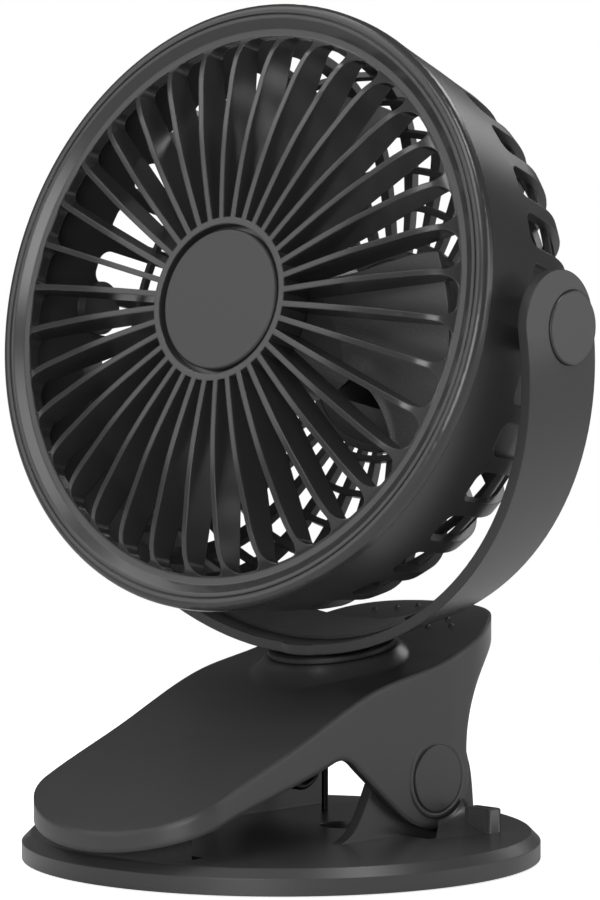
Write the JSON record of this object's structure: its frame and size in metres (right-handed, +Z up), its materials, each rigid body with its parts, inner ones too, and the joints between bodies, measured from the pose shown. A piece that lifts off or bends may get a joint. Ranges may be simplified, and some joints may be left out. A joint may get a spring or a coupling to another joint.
{
  "type": "clip fan",
  "caption": "Small clip and desk fan: round foot, spring clip jaw, leaning swivel with a U-shaped yoke, and a tilting round head with a radial-rib grille.",
  "frame": {"origin": "centre of the foot's underside", "axes": "+Z up, the clip opens towards -Y, +X to the right seen from the front"},
  "size_m": [0.1589, 0.1282, 0.2029],
  "materials": {
    "black_abs": "satin",
    "rubber": "matte",
    "steel": "satin",
    "bronze": "satin",
    "nylon": "matte",
    "battery_foil": "satin",
    "board": "gloss",
    "lamp_lens": "gloss"
  },
  "bodies": {
    "foot": {"base_plate": "black_abs", "base_pad": "rubber", "clip_spring_left": "steel", "clip_spring_right": "steel"},
    "jaw": {"jaw_shell": "black_abs", "jaw_grip_pad": "rubber", "hinge_cap_left": "black_abs", "hinge_cap_right": "black_abs", "hinge_pins": "steel", "swivel_disc": "black_abs", "swivel_screw": "steel", "swivel_washer": "steel", "swivel_nut": "steel"},
    "yoke": {"yoke_band": "black_abs", "yoke_inner_cover": "black_abs", "yoke_cap_left": "black_abs", "yoke_cap_right": "black_abs", "friction_washers": "nylon"},
    "head": {"front_grille": "black_abs", "hub_cap": "black_abs", "rear_cage": "black_abs", "motor_housing": "steel", "motor_end_bell": "steel", "motor_bearings": "bronze", "motor_screws": "steel", "tilt_screw_left": "steel", "tilt_screw_right": "steel", "pod_cover": "black_abs", "pod_screws": "steel", "battery": "battery_foil", "control_board": "board", "usb_socket": "steel", "lamp_window": "lamp_lens"},
    "rotor": {"impeller": "black_abs", "rotor_shaft": "steel"},
    "button": {"power_button": "black_abs"}
  },
  "joints": [
    {"name": "clip_open", "type": "hinge", "parent": "foot", "child": "jaw", "pos_m": [0, 0.0232, 0.0196], "axis": [-1, 0, 0], "range_deg": [0, 22], "stiffness_Nm_per_rad": 0.8, "springref_deg": -57.3, "deforming": ["clip_spring_left", "clip_spring_right"]},
    {"name": "yoke_swivel", "type": "hinge", "parent": "jaw", "child": "yoke", "pos_m": [0, 0.0175, 0.0504], "axis": [0, -0.1564, 0.9877], "continuous": true},
    {"name": "head_tilt", "type": "hinge", "parent": "yoke", "child": "head", "pos_m": [-0.00031, 0.0096, 0.12863], "axis": [-0.9976, -0.0689, -0.0109], "range_deg": [-22, 150]},
    {"name": "rotor_spin", "type": "hinge", "parent": "head", "child": "rotor", "pos_m": [0.00138, -0.01552, 0.13265], "axis": [0.0641, -0.9674, 0.245], "continuous": true},
    {"name": "power_button", "type": "slide", "parent": "head", "child": "button", "axis": [0.0641, -0.9674, 0.245], "range_m": [0, 0.0008], "stiffness_N_per_m": 800, "springref_m": -0.0006}
  ]
}
